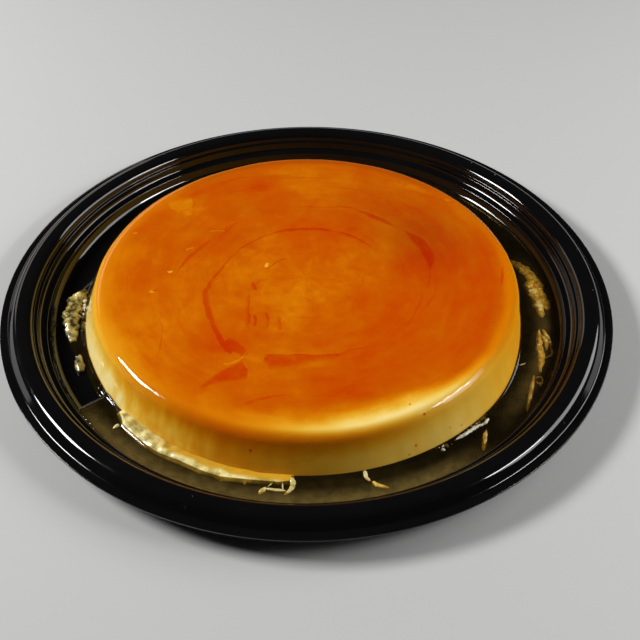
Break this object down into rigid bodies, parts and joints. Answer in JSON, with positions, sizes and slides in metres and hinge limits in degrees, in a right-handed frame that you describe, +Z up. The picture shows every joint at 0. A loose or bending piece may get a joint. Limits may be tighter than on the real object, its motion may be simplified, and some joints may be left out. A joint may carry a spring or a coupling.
{
  "type": "creme caramel flan on a serving tray",
  "caption": "Round caramel custard turned out on a black ribbed plastic tray, with thin caramel pooled along the front and torn bits of custard.",
  "frame": {"origin": "centre of the tray's flat underside, on the surface it stands on", "axes": "+Z up; -Y is the front of the dish, where the caramel has pooled; +X is to the right seen from the front"},
  "size_m": [0.305, 0.305, 0.0222],
  "materials": {
    "tray": "glossy black",
    "caramel_custard": "wet and glossy",
    "custard": "moist",
    "syrup": "clear liquid"
  },
  "bodies": {
    "root": {"tray": "tray", "flan": "caramel_custard", "syrup": "syrup", "curd_skirt": "custard", "curd_left": "custard", "curd_left_small": "custard"}
  },
  "joints": []
}
